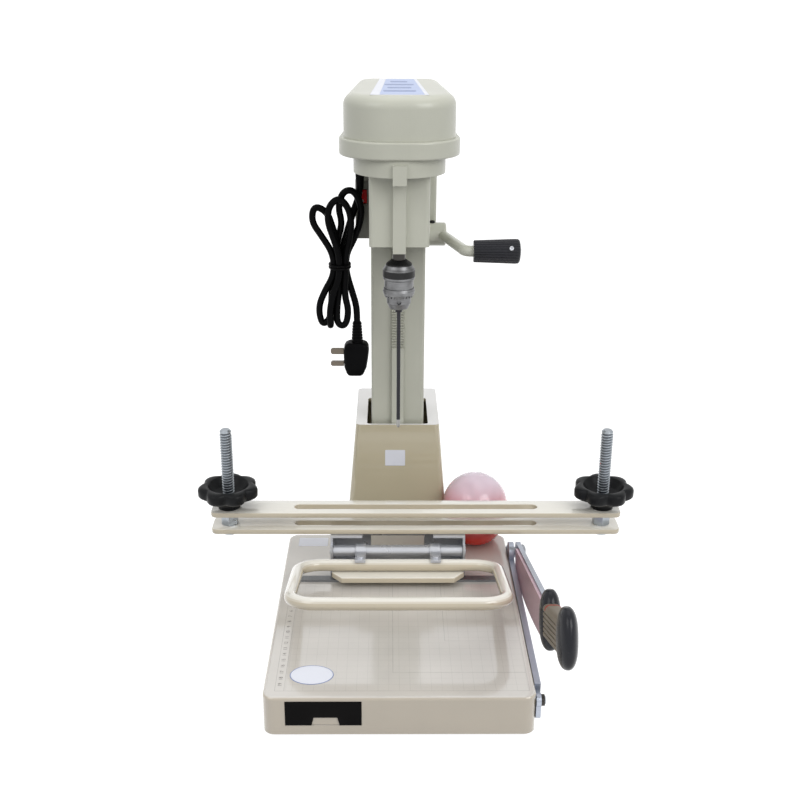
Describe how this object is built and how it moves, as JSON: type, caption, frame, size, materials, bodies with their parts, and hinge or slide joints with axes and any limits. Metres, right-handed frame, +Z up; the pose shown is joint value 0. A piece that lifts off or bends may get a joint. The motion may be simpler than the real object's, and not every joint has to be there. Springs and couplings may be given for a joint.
{
  "type": "paper drill",
  "caption": "Desk paper drill: sliding drill head on a column over a cream bed, with clamp bars and star knobs, a loop press handle and a guillotine trimmer arm.",
  "frame": {"origin": "point on the bed's top face under the drill's axis", "axes": "+Z up along the drill's axis, -Y towards the operator, +X to the operator's right"},
  "size_m": [0.4786, 0.5582, 0.56],
  "materials": {
    "bed_enamel": "glossy cream enamel",
    "housing_enamel": "glossy tan enamel",
    "head_enamel": "satin grey-cream enamel",
    "bar_enamel": "glossy cream enamel",
    "black_plastic": "moulded black plastic",
    "black_rubber": "soft black rubber",
    "grip_tan": "ribbed grey-tan rubber",
    "rubber": "black rubber",
    "grey_plastic": "dark grey plastic",
    "red_plastic": "glossy red plastic",
    "cord_black": "black PVC",
    "rule_metal": "satin anodised",
    "steel": "machined",
    "blade_steel": "ground",
    "black_steel": "black oxide",
    "chuck_steel": "turned and knurled",
    "chrome": "bright chrome plate",
    "zinc": "bright zinc plate",
    "red_clear": "translucent red plastic"
  },
  "bodies": {
    "root": {"bed_shell": "bed_enamel", "rubber_feet": "rubber", "backstop_rule": "rule_metal", "base_plate": "steel", "column_housing": "housing_enamel", "column": "head_enamel", "feed_rack": "head_enamel", "fixed_blade": "steel", "fixed_blade_screws": "steel", "cutter_pivot_bolt": "steel", "latch_bolt": "steel", "press_bracket": "chrome", "press_shaft": "chrome", "press_barrels": "chrome", "chip_jar": "red_clear"},
    "drawer": {"accessory_drawer": "black_plastic", "drawer_pull": "bed_enamel"},
    "head": {"head_body": "head_enamel", "head_collar": "head_enamel", "cover_base": "head_enamel", "cover_dome": "head_enamel", "motor_stator": "steel", "lower_bearing": "steel", "upper_bearing": "steel", "return_spring": "steel", "switch_box": "grey_plastic", "cord_gland": "cord_black", "cord_lead": "cord_black", "cord_hank": "cord_black", "cord_tail": "cord_black", "cord_tie": "cord_black", "plug_body": "cord_black", "plug_pins": "steel"},
    "rocker": {"switch_rocker": "red_plastic"},
    "spindle": {"spindle": "steel", "motor_rotor": "steel", "chuck_body": "chuck_steel", "chuck_sleeve": "chuck_steel", "chuck_jaws": "black_steel", "drill_bit": "black_steel"},
    "crank": {"pinion_shaft": "steel", "feed_hub": "head_enamel", "feed_arm": "head_enamel", "feed_grip": "black_plastic"},
    "cutter": {"cutter_arm": "steel", "cutter_blade": "blade_steel", "cutter_handle_lobes": "black_rubber", "cutter_handle_waist": "grip_tan"},
    "latch": {"cutter_latch": "steel"},
    "press": {"press_tube": "chrome", "press_arms": "chrome", "press_handle": "bar_enamel", "press_plate": "bar_enamel", "press_screws": "chrome"},
    "carriage": {"clamp_lower_bar": "bar_enamel", "clamp_rods": "zinc", "clamp_nuts": "zinc"},
    "upper_bar": {"clamp_upper_bar": "bar_enamel"},
    "left_knob": {"knob_left": "black_plastic"},
    "right_knob": {"knob_right": "black_plastic"}
  },
  "joints": [
    {"name": "head_slide", "type": "slide", "parent": "root", "child": "head", "axis": [0, 0, -1], "range_m": [0, 0.124], "stiffness_N_per_m": 300, "springref_m": -0.48},
    {"name": "feed_crank", "type": "hinge", "parent": "head", "child": "crank", "pos_m": [0, 0.072, 0.3615], "axis": [1, 0, 0], "range_deg": [0, 592]},
    {"name": "spindle_spin", "type": "hinge", "parent": "head", "child": "spindle", "pos_m": [0, 0, 0.36], "axis": [0, 0, -1], "continuous": true},
    {"name": "switch_rock", "type": "hinge", "parent": "head", "child": "rocker", "pos_m": [-0.0375, 0.041, 0.408], "axis": [1, 0, 0], "range_deg": [0, 12]},
    {"name": "cutter_swing", "type": "hinge", "parent": "root", "child": "cutter", "pos_m": [0.1388, 0.024, 0.002], "axis": [-1, 0, 0], "range_deg": [-10, 18]},
    {"name": "latch_swing", "type": "hinge", "parent": "root", "child": "latch", "pos_m": [0.1298, -0.239, -0.011], "axis": [-1, 0, 0], "range_deg": [-15, 150]},
    {"name": "press_swing", "type": "hinge", "parent": "root", "child": "press", "pos_m": [0, -0.017, 0.026], "axis": [-1, 0, 0], "range_deg": [-4, 55], "stiffness_Nm_per_rad": 4, "springref_deg": 10.31},
    {"name": "clamp_traverse", "type": "slide", "parent": "root", "child": "carriage", "axis": [1, 0, 0], "range_m": [-0.1, 0.06]},
    {"name": "clamp_open", "type": "slide", "parent": "carriage", "child": "upper_bar", "axis": [0, 0, 1], "range_m": [0, 0.05]},
    {"name": "left_knob_turn", "type": "hinge", "parent": "upper_bar", "child": "left_knob", "pos_m": [-0.186, 0, 0.08], "axis": [0, 0, 1], "continuous": true},
    {"name": "right_knob_turn", "type": "hinge", "parent": "upper_bar", "child": "right_knob", "pos_m": [0.226, 0, 0.08], "axis": [0, 0, 1], "continuous": true},
    {"name": "drawer_slide", "type": "slide", "parent": "root", "child": "drawer", "axis": [0, -1, 0], "range_m": [0, 0.06]}
  ],
  "couplings": [
    {"joint": "feed_crank", "follows": "head_slide", "rad_per_m": 83.333}
  ]
}
